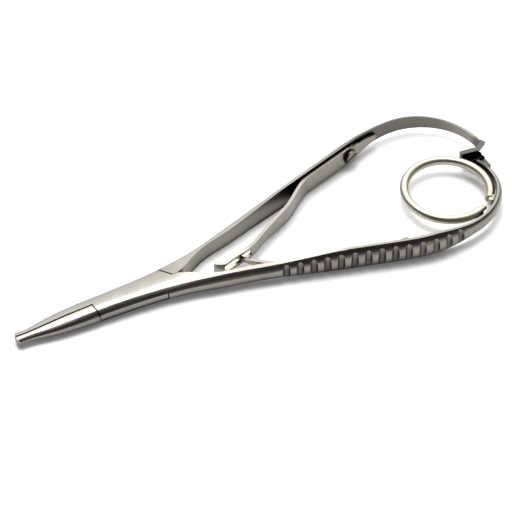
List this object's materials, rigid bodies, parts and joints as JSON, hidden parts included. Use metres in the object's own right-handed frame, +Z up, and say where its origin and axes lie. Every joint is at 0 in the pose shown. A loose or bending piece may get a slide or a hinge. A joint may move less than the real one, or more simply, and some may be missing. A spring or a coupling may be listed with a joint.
{
  "type": "surgical needle holder",
  "caption": "Box-lock needle holder with sprung plain handles, grooved grips, a finger ring and an end ratchet.",
  "frame": {"origin": "on the box joint's axis, in the plane that the grips rest on", "axes": "+X along the tool from the jaws to the ratchet, +Y toward the arm without the finger ring, +Z up along the joint's axis"},
  "size_m": [0.1411, 0.048, 0.0072],
  "materials": {
    "satin_steel": "satin ground stainless steel",
    "bright_steel": "polished stainless wire",
    "spring_steel": "satin spring steel strip"
  },
  "bodies": {
    "box_half": {"box_arm": "satin_steel", "pivot_pin": "satin_steel", "finger_ring": "bright_steel", "near_leaf_spring": "spring_steel", "near_spring_screw": "spring_steel"},
    "through_half": {"through_arm": "satin_steel", "far_leaf_spring": "spring_steel", "far_spring_screw": "spring_steel"}
  },
  "joints": [
    {"name": "box_joint", "type": "hinge", "parent": "box_half", "child": "through_half", "pos_m": [0, 0, 0.0036], "axis": [0, 0, 1], "range_deg": [0, 16], "deforming": ["far_leaf_spring", "near_leaf_spring"]}
  ]
}
